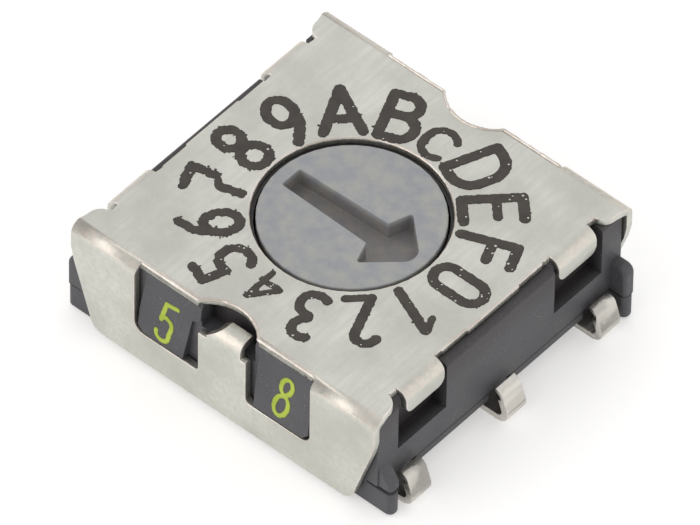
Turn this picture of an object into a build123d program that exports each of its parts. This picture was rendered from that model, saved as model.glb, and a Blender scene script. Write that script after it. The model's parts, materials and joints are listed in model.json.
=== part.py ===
from build123d import *
import os
from math import atan2, cos, degrees, hypot, radians, sin, sqrt, tan

os.makedirs("parts", exist_ok=True)

# Rotary code switch for a circuit board: sixteen positions, surface mounted on hooked terminals.
# Millimetres. The origin is on the board, under the rotor's axis. +Z points up out of the board,
# and the terminals stand along the +X and -X sides. The position marked 0 lies towards +X.

# Heights, counted up from the board
standoff = 0.05
base_thickness = 0.55
housing_height = 1.74
cover_seat_gap = 0.01
sheet = 0.15

# Housing, moulded
body_half_x = 3.44
end_wall = 0.47
skirt_wall = 0.25
skirt_drop = 0.17
housing_corner_round = 0.03
housing_top_round = 0.08
cavity_height = 1.15
cavity_side_gap = 0.15

# Ears at the four corners of the housing, and the base's feet under them
ear_reach = 0.36
ear_width = 0.27
ear_end_inset = 0.035
ear_height = 0.70
ear_top_round = 0.18
ear_edge_round = 0.08
foot_edge_round = 0.12
open_corner_reach = 0.28
open_corner_slope_top = 0.52
open_corner_slope_foot = 0.12
open_corner_lift = 0.08
open_corner_sink = 0.04

# Base, moulded
base_side_gap = 0.03
base_end_gap = 0.04

# Cover, folded from sheet
bend_inside = 0.10
flap_clearance = 0.04
tab_proud = 0.03
plate_edge_past_bend = 0.02
plate_centre_proud = 0.03
plate_centre_half = 0.70
cover_hole_gap = 0.10
flap_past_body = 0.07
flap_shoulder_drop = 0.55
flap_knee_drop = 0.85
flap_knee_inset = 0.06
flap_taper = 0.53
flap_foot_lift = 0.15
flap_corner_round = 0.30
lip_flare = 0.25
lip_run = 0.30
lip_middle_flare = 0.18
lip_middle_run = 0.10

# Side tabs of the cover, and the pockets of the housing behind them
tab_end_margin = 0.725
tab_width = 1.005
tab_drop = 0.52
tab_corner_round = 0.17
relief_width = 0.20
pocket_lead = 0.09
pocket_tail = 0.185
pocket_back_gap = 0.20
pocket_floor_height = 0.63

# Windows in each flap, the front one's hooked tongue between them and the back one's plain post
window_inner = 0.55
window_width = 1.48
window_sill_drop = 1.62
window_lip = 0.18
window_inner_round = 0.10
window_outer_round = 0.22
notch_half = 0.70
notch_depth = 0.33
tongue_shoulder_drop = 0.62
tongue_tip_drop = 0.27
tongue_neck_left = 0.36
tongue_neck_right = 0.42
tongue_neck_root = 0.02
tongue_slant_across = 0.30
tongue_slant_drop = 0.27
tongue_hook = 0.37
back_post_drop = 0.80

# Blocks of the housing that lean out through the windows, and the recess between them
block_inner_gap = 0.25
block_inner_slant = 0.12
block_plain_gap = 0.17
block_outer_gap = 0.06
block_top_inset = 0.05
block_top_drop = 0.04
block_foot_cut = 0.13
block_flank_height = 1.05
block_sill_gap = 0.02
block_shoulder_drop = 0.32
block_shoulder_slope = 0.10
block_recess = 0.02
tongue_recess_side = 0.07
tongue_recess_depth = 0.34
tongue_recess_height = 0.50

# Rotor
stem_radius = 1.69
rotor_clearance = 0.04
rotor_sink = 0.06
rotor_edge_round = 0.03
flange_rim = 0.12
flange_thickness = 0.50
cavity_headroom = 0.05
position_count = 16
detent_notch_radius = 0.13

# Arrow recess in the rotor's face
arrow_depth = 0.39
arrow_tail_margin = 0.275
arrow_point_margin = 0.105
arrow_head_length = 0.835
arrow_barb_half = 0.76
arrow_barb_lead = 0.16
arrow_throat_half = 0.295
arrow_shaft_half = 0.24
arrow_nose_round = 0.28
arrow_corner_round = 0.05

# Seal ring round the rotor's stem
seal_section = 0.26
seal_groove_depth = 0.28
seal_groove_play = 0.01
seal_lift = 0.03

# Pivot on the base
pivot_radius = 0.40
pivot_height = 0.25
pivot_end_gap = 0.05
boss_radius = 0.60
boss_gap = 0.03

# Code disc under the rotor
disc_thickness = 0.08
disc_bore_gap = 0.08
disc_edge = 0.08
common_track_margin = 0.22
track_pitch = 0.30
track_width = 0.20
bit_count = 4

# Terminals
terminal_pitch = 2.54
terminal_width = 0.50
terminal_sheet = 0.15
terminal_past_body = 0.41
terminal_heel_round = 0.25
terminal_lean_height = 0.30
terminal_curl_height = 0.69
terminal_curl_lean = 0.13
terminal_curl_round = 0.17
terminal_tip_height = 0.79
terminal_tip_lean = 0.29
terminal_tip_thin = 0.08
terminal_thin_from = 0.58
riser_inset = 0.55
riser_round = 0.17
arm_width = 0.40
finger_sheet = 0.08
finger_width = 0.30
finger_root_run = 0.60
finger_contact_gap = 0.04
finger_flat = 0.12
finger_dip = 0.08
finger_wall_gap = 0.05
near_finger_offset = 0.75
far_finger_offset = 1.50
slot_side_clearance = 0.05
slot_rise = 0.03

# Detent springs
spring_sheet = 0.08
spring_angle = 45.0
spring_tip_gap = 0.03
spring_room = 0.55
spring_half_span = 0.95
spring_end_gap = 0.05
spring_bow = 0.04
spring_floor_gap = 0.02

# Printing; the characters' points are given in print_unit
print_unit = 1.0
ink = 0.012
dial_margin = 0.63
stroke = 0.18
medium_stroke = 0.15
fine_stroke = 0.12
digit_stroke = 0.125
digit_tilt = 17.0
digit_scale = 0.86
digit_centre_drop = 0.99
five_place = 1.34
eight_place = 1.36
digit_ink = 0.008

# Sizes that follow: the body's length, from its row of terminals
body_half_y = terminal_pitch + terminal_width / 2 + end_wall

# Sizes that follow: heights
base_top = standoff + base_thickness
housing_top = base_top + housing_height
cover_under = housing_top + cover_seat_gap
cover_top = cover_under + sheet
sill_bottom = base_top - skirt_drop
slot_top = base_top + slot_rise
cavity_top = base_top + cavity_height
pocket_floor = base_top + pocket_floor_height
window_sill = cover_top - window_sill_drop
rotor_top = cover_top - rotor_sink
flange_top = cavity_top - cavity_headroom
flange_under = flange_top - flange_thickness
seal_floor = flange_top + seal_lift
seal_groove_height = seal_section + 2 * seal_groove_play
disc_under = flange_under - disc_thickness
finger_top = disc_under - finger_contact_gap

# Sizes that follow: cover
bend_outside = bend_inside + sheet
flap_face = body_half_y + flap_clearance + sheet
flap_bend = flap_face - bend_outside
flap_shoulder = body_half_x + flap_past_body
flap_foot_half = flap_shoulder - flap_taper
tab_face = body_half_x + tab_proud
tab_bend = tab_face - bend_outside
tab_end = body_half_y - tab_end_margin
tab_start = tab_end - tab_width
plate_edge = tab_bend + plate_edge_past_bend
window_outer = window_inner + window_width
window_edge = flap_face - window_lip

# Sizes that follow: housing and base
pocket_start = tab_start - pocket_lead
pocket_end = tab_end + pocket_tail
pocket_back = tab_face - sheet - pocket_back_gap
ear_face = body_half_x + ear_reach
open_face = body_half_x + open_corner_reach
ear_top = base_top + ear_height
ear_end = body_half_y - ear_end_inset
ear_start = ear_end - ear_width
block_inner = window_inner + block_inner_gap
block_plain_inner = window_inner + block_plain_gap
block_outer = window_outer - block_outer_gap
block_face = body_half_y - block_recess + flap_clearance + sheet
block_sill = window_sill + block_sill_gap
block_top = housing_top - block_top_drop
block_rake = block_face - body_half_y
block_lean = atan2(block_rake, block_top - block_sill)
tongue_recess_half = window_inner + tongue_recess_side
base_half_x = body_half_x - skirt_wall - base_side_gap
base_half_y = body_half_y - base_end_gap

# Sizes that follow: rotor, disc and springs
bore_radius = stem_radius + rotor_clearance
cover_hole_radius = stem_radius + cover_hole_gap
seal_centre_radius = stem_radius - seal_groove_depth + seal_section / 2
disc_hole_radius = boss_radius + disc_bore_gap
common_track_radius = disc_hole_radius + common_track_margin + track_width / 2
disc_radius = common_track_radius + bit_count * track_pitch + track_width / 2 + disc_edge
flange_radius = disc_radius + flange_rim
cavity_radius = flange_radius + cavity_side_gap
spring_tip = flange_radius + spring_tip_gap
spring_seat = flange_radius + spring_room

# Sizes that follow: terminals and printing
terminal_reach = body_half_x + terminal_past_body
riser_face = base_half_x - riser_inset
dial_radius = cover_hole_radius + dial_margin


# Cover: a plate with a long flap folded down at each end and four small tabs at the sides
def fold_profile(face, inner_end, foot):
    """Half of the plate, one bend and its flap, as a closed outline across the bend."""
    with BuildLine() as outline:
        FilletPolyline(
            (inner_end, cover_top),
            (face, cover_top),
            (face, foot),
            radius=bend_outside,
        )
        Line((face, foot), (face - sheet, foot))
        FilletPolyline(
            (face - sheet, foot),
            (face - sheet, cover_under),
            (inner_end, cover_under),
            radius=bend_inside,
        )
        Line((inner_end, cover_under), (inner_end, cover_top))
    make_face(outline.edges())


def plate_quarter():
    """One quarter of the cover's outline seen from above, without its tabs."""
    relief_inner = tab_start - relief_width
    relief_outer = tab_end + relief_width
    with BuildLine() as outline:
        Polyline(
            (0, 0),
            (plate_edge + plate_centre_proud, 0),
            (plate_edge + plate_centre_proud, plate_centre_half - plate_centre_proud),
            (plate_edge, plate_centre_half),
            (plate_edge, relief_inner),
            (tab_bend, relief_inner + plate_edge_past_bend),
            (tab_bend, relief_outer),
        )
        ThreePointArc(
            (tab_bend, relief_outer),
            (tab_bend + lip_middle_flare, relief_outer + lip_middle_run),
            (tab_bend + lip_flare, relief_outer + lip_run),
        )
        Polyline(
            (tab_bend + lip_flare, relief_outer + lip_run),
            (flap_shoulder, flap_bend),
            (flap_shoulder, flap_face + sheet),
            (0, flap_face + sheet),
            (0, 0),
        )
    make_face(outline.edges())


def flap_half_outline():
    """Right half of the cover seen from the front: shoulders, knees and the tapered flap."""
    with BuildLine() as outline:
        Polyline(
            (0, cover_top + sheet),
            (flap_shoulder, cover_top + sheet),
            (flap_shoulder, cover_top - flap_shoulder_drop),
            (flap_shoulder - flap_knee_inset, cover_top - flap_knee_drop),
            (flap_foot_half, flap_foot_lift),
            (0, flap_foot_lift),
            (0, cover_top + sheet),
        )
    make_face(outline.edges())


with BuildPart() as cover:
    with BuildSketch(Plane.YZ):
        fold_profile(flap_face, 0, flap_foot_lift)
        mirror(about=Plane.YZ)
    extrude(amount=flap_shoulder + sheet, both=True)
    with BuildSketch(Plane.XY):
        plate_quarter()
        mirror(about=Plane.YZ)
        mirror(about=Plane.XZ)
    extrude(amount=cover_top + sheet, mode=Mode.INTERSECT)
    with BuildSketch(Plane.XZ):
        flap_half_outline()
        mirror(about=Plane.YZ)
    extrude(amount=flap_face + sheet, both=True, mode=Mode.INTERSECT)
    foot_corners = [
        edge
        for edge in cover.edges().filter_by(Axis.Y)
        if edge.center().Z < flap_foot_lift + sheet and abs(edge.center().X) > flap_foot_half / 2
    ]
    fillet(foot_corners, flap_corner_round)
    for side in (-1, 1):
        # the two windows in each flap
        for across in (-1, 1):
            with BuildSketch(Plane.XZ.offset(-side * window_edge)) as window:
                with Locations(
                    (
                        across * (window_inner + window_outer) / 2,
                        (window_sill + cover_top + sheet) / 2,
                    )
                ):
                    Rectangle(window_outer - window_inner, cover_top + sheet - window_sill)
                lower = window.vertices().group_by(Axis.Y)[0].sort_by(lambda v: abs(v.X))
                fillet(lower[0], window_inner_round)
                lower = window.vertices().group_by(Axis.Y)[0].sort_by(lambda v: abs(v.X))
                fillet(lower[-1], window_outer_round)
            extrude(amount=-side * window_lip * 2, mode=Mode.SUBTRACT)
        # the stretch between the windows, above the tongue's shoulders or the plain post
        post_drop = tongue_shoulder_drop if side < 0 else back_post_drop
        with BuildSketch(Plane.XZ.offset(-side * window_edge)):
            with Locations((0, cover_top + sheet)):
                Rectangle(2 * window_outer - window_width, 2 * (post_drop + sheet))
        extrude(amount=-side * window_lip * 2, mode=Mode.SUBTRACT)
    # round notch in the plate over each tongue
    with BuildSketch(Plane.XY.offset(cover_under - sheet)):
        for side in (-1, 1):
            with BuildLine():
                Line((-notch_half, side * flap_face), (-notch_half, side * window_edge))
                ThreePointArc(
                    (-notch_half, side * window_edge),
                    (0, side * (window_edge - notch_depth)),
                    (notch_half, side * window_edge),
                )
                Polyline(
                    (notch_half, side * window_edge),
                    (notch_half, side * flap_face),
                    (-notch_half, side * flap_face),
                )
            make_face()
    extrude(amount=3 * sheet, mode=Mode.SUBTRACT)
    # hooked end of the front tongue, bent in under the plate
    tongue_top = cover_top - tongue_tip_drop
    neck_root = cover_top - tongue_shoulder_drop - tongue_neck_root
    with BuildSketch(Plane.YZ) as hook:
        with BuildLine():
            FilletPolyline(
                (tongue_hook - flap_face, tongue_top),
                (-flap_face, tongue_top),
                (-flap_face, neck_root),
                radius=bend_outside,
            )
            Line((-flap_face, neck_root), (sheet - flap_face, neck_root))
            FilletPolyline(
                (sheet - flap_face, neck_root),
                (sheet - flap_face, tongue_top - sheet),
                (tongue_hook - flap_face, tongue_top - sheet),
                radius=bend_inside,
            )
            Line(
                (tongue_hook - flap_face, tongue_top - sheet),
                (tongue_hook - flap_face, tongue_top),
            )
        make_face()
    extrude(amount=tongue_neck_right)
    extrude(hook.sketch, amount=-tongue_neck_left)
    # the neck's left corner is cut off at a slant
    with BuildSketch(Plane.XZ.offset(flap_face - tongue_hook)):
        Polygon(
            (-tongue_neck_left, tongue_top),
            (tongue_slant_across - tongue_neck_left, tongue_top),
            (-tongue_neck_left, tongue_top - tongue_slant_drop),
            align=None,
        )
    extrude(amount=tongue_hook, mode=Mode.SUBTRACT)
    # side tabs
    for side in (-1, 1):
        for across in (-1, 1):
            low = tab_start if across > 0 else -tab_end
            with BuildSketch(Plane.XZ.offset(-low)) as tab_section:
                fold_profile(tab_face, tab_bend - sheet, cover_top - tab_drop)
                if side < 0:
                    mirror(about=Plane.YZ, mode=Mode.REPLACE)
            extrude(amount=-(tab_end - tab_start))
    tab_corners = [
        edge
        for edge in cover.edges().filter_by(Axis.X)
        if abs(edge.center().Z - (cover_top - tab_drop)) < sheet / 4
        and abs(edge.center().X) > tab_bend
    ]
    fillet(tab_corners, tab_corner_round)
    # hole for the rotor
    with Locations((0, 0, cover_top)):
        Hole(cover_hole_radius, depth=2 * sheet)

cover.part.label = "cover"
export_step(cover.part, "parts/cover.step")


# Housing: one moulding with the rotor's cavity, the bore in its roof, ears and window blocks
def ear_slab(low, high, start, end):
    """Two bars across the body whose ends stand out, further at the two corners that are closed."""
    for side in (-1, 1):
        with BuildSketch(Plane.XY.offset(low)) as slab:
            with Locations((side * (ear_face - open_face) / 2, side * (start + end) / 2)):
                Rectangle(ear_face + open_face, end - start)
        extrude(slab.sketch, amount=high - low)


def ear_corners(solid):
    """The upright edges at the outer ends of the ears."""
    return [
        edge
        for edge in solid.edges().filter_by(Axis.Z)
        if min(abs(abs(edge.center().X) - face) for face in (ear_face, open_face)) < ear_reach / 10
    ]


# Edges of a window block, seen from the front: beside the tongue, and on the far side
stepped_edge = (
    (block_inner + block_inner_slant, block_sill),
    (block_inner, block_top - block_shoulder_drop - block_shoulder_slope),
    (tongue_recess_half, block_top - block_shoulder_drop),
    (tongue_recess_half, block_top),
)
plain_edge = (
    (block_plain_inner, block_sill),
    (block_plain_inner, block_top),
)
outer_edge = (
    (block_outer - block_top_inset, block_top),
    (block_outer - block_top_inset, block_sill + block_flank_height),
    (block_outer, block_sill + block_flank_height / 2),
    (block_outer, block_sill + block_foot_cut),
    (block_outer - block_foot_cut, block_sill),
)

with BuildPart() as housing:
    with BuildSketch(Plane.XY.offset(sill_bottom)):
        Rectangle(2 * body_half_x, 2 * body_half_y)
    extrude(amount=housing_top - sill_bottom)
    fillet(housing.edges().filter_by(Axis.Z), housing_corner_round)
    fillet(housing.edges().filter_by(Axis.X).group_by(Axis.Z)[-1], housing_top_round)
    # pockets behind the cover's tabs
    with BuildSketch(Plane.XY.offset(pocket_floor)):
        for side in (-1, 1):
            for across in (-1, 1):
                with Locations(
                    (
                        side * (pocket_back + body_half_x) / 2,
                        across * (pocket_start + pocket_end) / 2,
                    )
                ):
                    Rectangle(body_half_x - pocket_back, pocket_end - pocket_start)
    extrude(amount=housing_top - pocket_floor, mode=Mode.SUBTRACT)
    ear_slab(base_top, ear_top, ear_start, ear_end)
    ear_tops = [
        edge
        for edge in housing.edges().filter_by(Axis.Y)
        if abs(abs(edge.center().X) - ear_face) < ear_top_round / 2
        and abs(edge.center().Z - ear_top) < ear_top_round / 2
    ]
    fillet(ear_tops, ear_top_round)
    fillet(ear_corners(housing), ear_edge_round)
    # sloped tops of the ears at the two corners that stand open
    for side in (-1, 1):
        with BuildSketch(Plane.XZ.offset(side * ear_start)):
            Polygon(
                (side * body_half_x, base_top + open_corner_slope_top),
                (side * open_face, base_top + open_corner_slope_foot),
                (side * ear_face, base_top + open_corner_slope_foot),
                (side * ear_face, ear_top),
                (side * body_half_x, ear_top),
                align=None,
            )
        extrude(amount=side * (ear_end - ear_start), mode=Mode.SUBTRACT)
    # room for the base under the body, leaving a skirt along each terminal side
    with BuildSketch(Plane.XY.offset(sill_bottom)):
        Rectangle(2 * (body_half_x - skirt_wall), 2 * body_half_y)
        for side in (-1, 1):
            with Locations((0, side * (pocket_end + body_half_y) / 2)):
                Rectangle(2 * body_half_x, body_half_y - pocket_end)
    extrude(amount=base_top - sill_bottom, mode=Mode.SUBTRACT)
    # lifted underside at the two corners that stand open
    with BuildSketch(Plane.XY.offset(base_top)):
        for side in (-1, 1):
            with Locations(
                (side * (body_half_x - skirt_wall + ear_face) / 2, -side * (ear_start + body_half_y) / 2)
            ):
                Rectangle(ear_face - body_half_x + skirt_wall, body_half_y - ear_start)
    extrude(amount=open_corner_lift, mode=Mode.SUBTRACT)
    # notches in the skirt over the terminal tips
    with BuildSketch(Plane.XY.offset(sill_bottom)):
        for side in (-1, 1):
            for row in (-1, 0, 1):
                with Locations((side * (body_half_x - skirt_wall / 2), row * terminal_pitch)):
                    Rectangle(skirt_wall, terminal_width + 2 * slot_side_clearance)
    extrude(amount=slot_top - sill_bottom, mode=Mode.SUBTRACT)
    # window blocks, the left one stepped beside the tongue, their faces leaning back to the wall
    for side in (-1, 1):
        for across, inner_edge in ((-1, stepped_edge), (1, plain_edge)):
            with BuildSketch(Plane.XZ.offset(-side * (body_half_y - sheet))):
                Polygon(*[(across * x, z) for x, z in inner_edge + outer_edge], align=None)
            extrude(amount=-side * (block_face - body_half_y + sheet))
        with BuildSketch(Plane.YZ):
            Polygon(
                (side * block_face, block_sill),
                (side * (block_face + sheet), block_sill),
                (side * (block_face + sheet), block_top),
                (side * body_half_y, block_top),
                align=None,
            )
        extrude(amount=window_outer, both=True, mode=Mode.SUBTRACT)
    # cavity for the flange and the two springs
    with BuildSketch(Plane.XY.offset(base_top)):
        Circle(cavity_radius)
        for turn in (spring_angle, spring_angle + 180):
            with Locations(Location((0, 0, 0), (0, 0, turn))):
                with Locations((spring_seat / 2, 0)):
                    Rectangle(spring_seat, 2 * (spring_half_span + spring_end_gap))
    extrude(amount=cavity_height, mode=Mode.SUBTRACT)
    with Locations((0, 0, housing_top)):
        Hole(bore_radius, depth=housing_height)
    # recess behind the tongue, and behind the post
    with BuildSketch(Plane.XY.offset(housing_top - tongue_recess_height)):
        for side in (-1, 1):
            with Locations((0, side * (body_half_y - tongue_recess_depth / 2))):
                Rectangle(2 * tongue_recess_half, tongue_recess_depth)
    extrude(amount=tongue_recess_height, mode=Mode.SUBTRACT)

housing.part.label = "housing"
export_step(housing.part, "parts/housing.step")


# Terminals: a hooked leg, a riser through the base, an arm and a contact finger in one strip
def strip_profile(line, rounds, thickness):
    """A strip of even thickness on the inner side of a bent line."""
    with BuildLine() as outline:
        FilletPolyline(*line, radius=rounds)
        offset(amount=thickness, side=Side.RIGHT)
    make_face(outline.edges())


def leg_profile():
    """The full strip from the hook's thinned part round the heel and up through the base."""
    rise = (terminal_thin_from - terminal_lean_height) / (terminal_curl_height - terminal_lean_height)
    line = (
        (terminal_reach - rise * terminal_curl_lean, terminal_thin_from),
        (terminal_reach, terminal_lean_height),
        (terminal_reach, 0),
        (riser_face, 0),
        (riser_face, base_top),
    )
    strip_profile(line, [terminal_heel_round, terminal_heel_round, riser_round], terminal_sheet)


def tip_profile():
    """The thinned end of the hook, curled in towards the body."""
    line = (
        (terminal_reach - terminal_tip_lean, terminal_tip_height),
        (terminal_reach - terminal_curl_lean, terminal_curl_height),
        (terminal_reach, terminal_lean_height),
    )
    strip_profile(line, terminal_curl_round, terminal_tip_thin)


def finger_profile(contact, finger_root):
    """The thin finger from the arm up to its contact point under the code disc.

    The upper line is the lower one moved out by the sheet, each corner along its bisector.
    """
    root_under = base_top - finger_sheet
    crest_under = finger_top - finger_sheet
    crest = contact + finger_flat
    climb = atan2(crest_under - root_under, finger_root - crest)
    fall = atan2(finger_dip, finger_flat)
    climb_shift = finger_sheet * tan(climb / 2)
    fall_shift = finger_sheet * tan(fall / 2)
    tip = (contact - finger_flat, crest_under - finger_dip)
    tip_top = (tip[0] - finger_sheet * sin(fall), tip[1] + finger_sheet * cos(fall))
    with BuildLine() as outline:
        Polyline(
            (riser_face, base_top),
            (riser_face, root_under),
            (finger_root, root_under),
            (crest, crest_under),
            (contact, crest_under),
            tip,
            tip_top,
            (contact - fall_shift, finger_top),
            (crest + climb_shift, finger_top),
            (finger_root + climb_shift, base_top),
            (riser_face, base_top),
        )
    make_face(outline.edges())


def track_radius(number):
    """Radius of a contact track, counted out from the common one."""
    return common_track_radius + number * track_pitch


def make_terminal(name, side, row, finger_line, track):
    """One terminal: side is its end of the body, row its place along the side."""
    leg_centre = row * terminal_pitch
    contact = sqrt(track_radius(track) ** 2 - finger_line**2)
    cavity_edge = sqrt(cavity_radius**2 - (finger_line + finger_width / 2) ** 2)
    finger_root = min(riser_face - finger_root_run, cavity_edge - finger_wall_gap)
    arm_low = min(leg_centre, row * finger_line) - arm_width / 2
    arm_high = max(leg_centre, row * finger_line) + arm_width / 2
    with BuildPart() as terminal:
        with BuildSketch(Plane.XZ.offset(-leg_centre - terminal_width / 2)):
            leg_profile()
            tip_profile()
        extrude(amount=terminal_width)
        with BuildSketch(Plane.XY.offset(base_top - terminal_sheet)):
            with Locations((riser_face + terminal_sheet / 2, (arm_low + arm_high) / 2)):
                Rectangle(terminal_sheet + arm_width, arm_high - arm_low)
        extrude(amount=terminal_sheet)
        with BuildSketch(Plane.XZ.offset(-row * finger_line - finger_width / 2)):
            finger_profile(contact, finger_root)
        extrude(amount=finger_width)
        if side < 0:
            mirror(about=Plane.YZ, mode=Mode.REPLACE)
    terminal.part.label = name
    export_step(terminal.part, f"parts/{name}.step")
    return terminal.part


terminal_layout = [
    ("terminal_code_1", 1, -1, near_finger_offset, 1),
    ("terminal_common_right", 1, 0, 0, 0),
    ("terminal_code_2", 1, 1, near_finger_offset, 2),
    ("terminal_code_4", -1, -1, far_finger_offset, 3),
    ("terminal_common_left", -1, 0, 0, 0),
    ("terminal_code_8", -1, 1, far_finger_offset, 4),
]
terminals = [make_terminal(*place) for place in terminal_layout]

# Base: the moulding that carries the terminals and the rotor's pivot
with BuildPart() as base:
    with BuildSketch(Plane.XY.offset(standoff)):
        Rectangle(2 * base_half_x, 2 * base_half_y)
    extrude(amount=base_thickness)
    ear_slab(standoff, base_top, ear_start, base_half_y)
    fillet(ear_corners(base), foot_edge_round)
    with BuildSketch(Plane.XY.offset(base_top - open_corner_sink)):
        for side in (-1, 1):
            with Locations(
                (side * (base_half_x + ear_face) / 2, -side * (ear_start + base_half_y) / 2)
            ):
                Rectangle(ear_face - base_half_x, base_half_y - ear_start)
    extrude(amount=open_corner_sink, mode=Mode.SUBTRACT)
    with BuildSketch(Plane.XY.offset(base_top)):
        Circle(boss_radius)
    extrude(amount=flange_under - boss_gap - base_top)
    with BuildSketch(Plane.XY.offset(flange_under - boss_gap)):
        Circle(pivot_radius)
    extrude(amount=pivot_height)
    for terminal in terminals:
        add(terminal, mode=Mode.SUBTRACT)

base.part.label = "base"
export_step(base.part, "parts/base.step")


# Rotor: the disc seen through the cover, with its flange, detent notches and arrow recess
def arrow_outline():
    """Straight arrow from its square tail to its pointed nose, barbs leaning forward."""
    tail = arrow_tail_margin - stem_radius
    point = stem_radius - arrow_point_margin
    barb = point - arrow_head_length
    throat = barb - arrow_barb_lead
    with BuildLine() as outline:
        Polyline(
            (tail, -arrow_shaft_half),
            (throat, -arrow_throat_half),
            (barb, -arrow_barb_half),
            (point, 0),
            (barb, arrow_barb_half),
            (throat, arrow_throat_half),
            (tail, arrow_shaft_half),
            (tail, -arrow_shaft_half),
        )
    make_face(outline.edges())


with BuildPart() as rotor:
    with BuildSketch(Plane.XY.offset(flange_under)):
        Circle(flange_radius)
        with PolarLocations(flange_radius, position_count):
            Circle(detent_notch_radius, mode=Mode.SUBTRACT)
    extrude(amount=flange_thickness)
    with BuildSketch(Plane.XY.offset(flange_top)):
        Circle(stem_radius)
    extrude(amount=rotor_top - flange_top)
    fillet(rotor.edges().group_by(Axis.Z)[-1], rotor_edge_round)
    with BuildSketch(Plane.XY.offset(seal_floor)):
        Circle(stem_radius + seal_section / 2)
        Circle(stem_radius - seal_groove_depth, mode=Mode.SUBTRACT)
    extrude(amount=seal_groove_height, mode=Mode.SUBTRACT)
    with BuildSketch(Plane.XY.offset(rotor_top - arrow_depth)) as arrow:
        arrow_outline()
        nose = arrow.vertices().sort_by(Axis.X)[-1]
        fillet(nose, arrow_nose_round)
        fillet(arrow.vertices().group_by(Axis.X)[0], arrow_corner_round)
        barbs = [v for v in arrow.vertices() if abs(abs(v.Y) - arrow_barb_half) < arrow_corner_round]
        fillet(barbs, arrow_corner_round)
    extrude(amount=arrow_depth, mode=Mode.SUBTRACT)
    with Locations(Location((0, 0, flange_under), (180, 0, 0))):
        Hole(
            pivot_radius + rotor_clearance,
            depth=pivot_height - boss_gap + pivot_end_gap,
        )

rotor.part.label = "rotor"
export_step(rotor.part, "parts/rotor.step")

# Seal ring in the stem's groove
with BuildPart() as rotor_seal:
    with BuildSketch(Plane.XZ):
        with Locations((seal_centre_radius, seal_floor + seal_groove_height / 2)):
            Circle(seal_section / 2)
    revolve(axis=Axis.Z)

rotor_seal.part.label = "rotor_seal"
export_step(rotor_seal.part, "parts/rotor_seal.step")


# Code disc: a ring of sheet with one row of windows for each bit of the position's number
def arc_window(radius, start, sweep):
    """A window along part of a track."""
    inner = radius - track_width / 2
    outer = radius + track_width / 2
    first = radians(start)
    last = radians(start + sweep)
    with BuildLine() as outline:
        CenterArc((0, 0), outer, start, sweep)
        Line((outer * cos(last), outer * sin(last)), (inner * cos(last), inner * sin(last)))
        CenterArc((0, 0), inner, start, sweep)
        Line((inner * cos(first), inner * sin(first)), (outer * cos(first), outer * sin(first)))
    make_face(outline.edges())


step_angle = 360 / position_count
window_margin = step_angle / 5

with BuildPart() as code_disc:
    with BuildSketch(Plane.XY.offset(disc_under)):
        Circle(disc_radius)
        Circle(disc_hole_radius, mode=Mode.SUBTRACT)
    extrude(amount=disc_thickness)
    with BuildSketch(Plane.XY.offset(disc_under)):
        for bit in range(bit_count):
            run = 2**bit
            for start in range(0, position_count, 2 * run):
                arc_window(
                    track_radius(bit + 1),
                    start * step_angle - step_angle / 2 + window_margin,
                    run * step_angle - 2 * window_margin,
                )
    extrude(amount=disc_thickness, mode=Mode.SUBTRACT)

code_disc.part.label = "code_disc"
export_step(code_disc.part, "parts/code_disc.step")


# Detent springs: bent strips standing in the cavity's corners, their knees beside the notches
def spring_outline():
    """A shallow V seen from above, its knee towards the rotor and its ends on the seat."""
    end = spring_seat - spring_sheet
    shoulder = (spring_tip + end) / 2 + spring_bow
    with BuildLine() as outline:
        FilletPolyline(
            (end, -spring_half_span),
            (shoulder, -spring_half_span / 2),
            (spring_tip, 0),
            (shoulder, spring_half_span / 2),
            (end, spring_half_span),
            radius=spring_sheet,
        )
        Line((end, spring_half_span), (end + spring_sheet, spring_half_span))
        FilletPolyline(
            (end + spring_sheet, spring_half_span),
            (shoulder + spring_sheet, spring_half_span / 2),
            (spring_tip + spring_sheet, 0),
            (shoulder + spring_sheet, -spring_half_span / 2),
            (end + spring_sheet, -spring_half_span),
            radius=spring_sheet,
        )
        Line((end + spring_sheet, -spring_half_span), (end, -spring_half_span))
    make_face(outline.edges())


for number, turn in enumerate((spring_angle, spring_angle + 180), start=1):
    spring_plane = Plane(
        origin=(0, 0, base_top + spring_floor_gap),
        x_dir=(cos(radians(turn)), sin(radians(turn)), 0),
        z_dir=(0, 0, 1),
    )
    with BuildPart() as spring:
        with BuildSketch(spring_plane):
            spring_outline()
        extrude(amount=flange_top - base_top - spring_floor_gap)
    spring.part.label = f"detent_spring_{number}"
    export_step(spring.part, f"parts/detent_spring_{number}.step")


# Printing: strokes of ink with round ends, in each character's own frame
def printed(point):
    """A character's point in millimetres."""
    return (print_unit * point[0], print_unit * point[1])


def bar(start, end, width=stroke):
    """A straight stroke."""
    (x0, y0), (x1, y1) = printed(start), printed(end)
    with Locations(((x0 + x1) / 2, (y0 + y1) / 2)):
        SlotCenterToCenter(hypot(x1 - x0, y1 - y0), width, rotation=degrees(atan2(y1 - y0, x1 - x0)))


def bow(centre, radius, start, sweep, width=stroke):
    """A stroke along a circle."""
    plane = Plane(origin=(*printed(centre), 0))
    SlotArc(Edge.make_circle(print_unit * radius, plane, start, start + sweep), width)


def loop(centre, across, up, width=stroke, tilt=0):
    """A closed oval stroke."""
    across, up = printed((across, up))
    with Locations(printed(centre)):
        Ellipse(across + width / 2, up + width / 2, rotation=tilt)
        Ellipse(across - width / 2, up - width / 2, rotation=tilt, mode=Mode.SUBTRACT)


def zero():
    across, up = printed((0.25, 0.525))
    with Locations(printed((0.02, 0.065))):
        SlotOverall(2 * up + stroke, 2 * across + stroke, rotation=90)
        SlotOverall(2 * up - stroke, 2 * across - stroke, rotation=90, mode=Mode.SUBTRACT)


def one():
    bar((0.07, 0.57), (0.07, -0.46))
    bar((0.03, 0.58), (-0.17, 0.36), fine_stroke)


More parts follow.
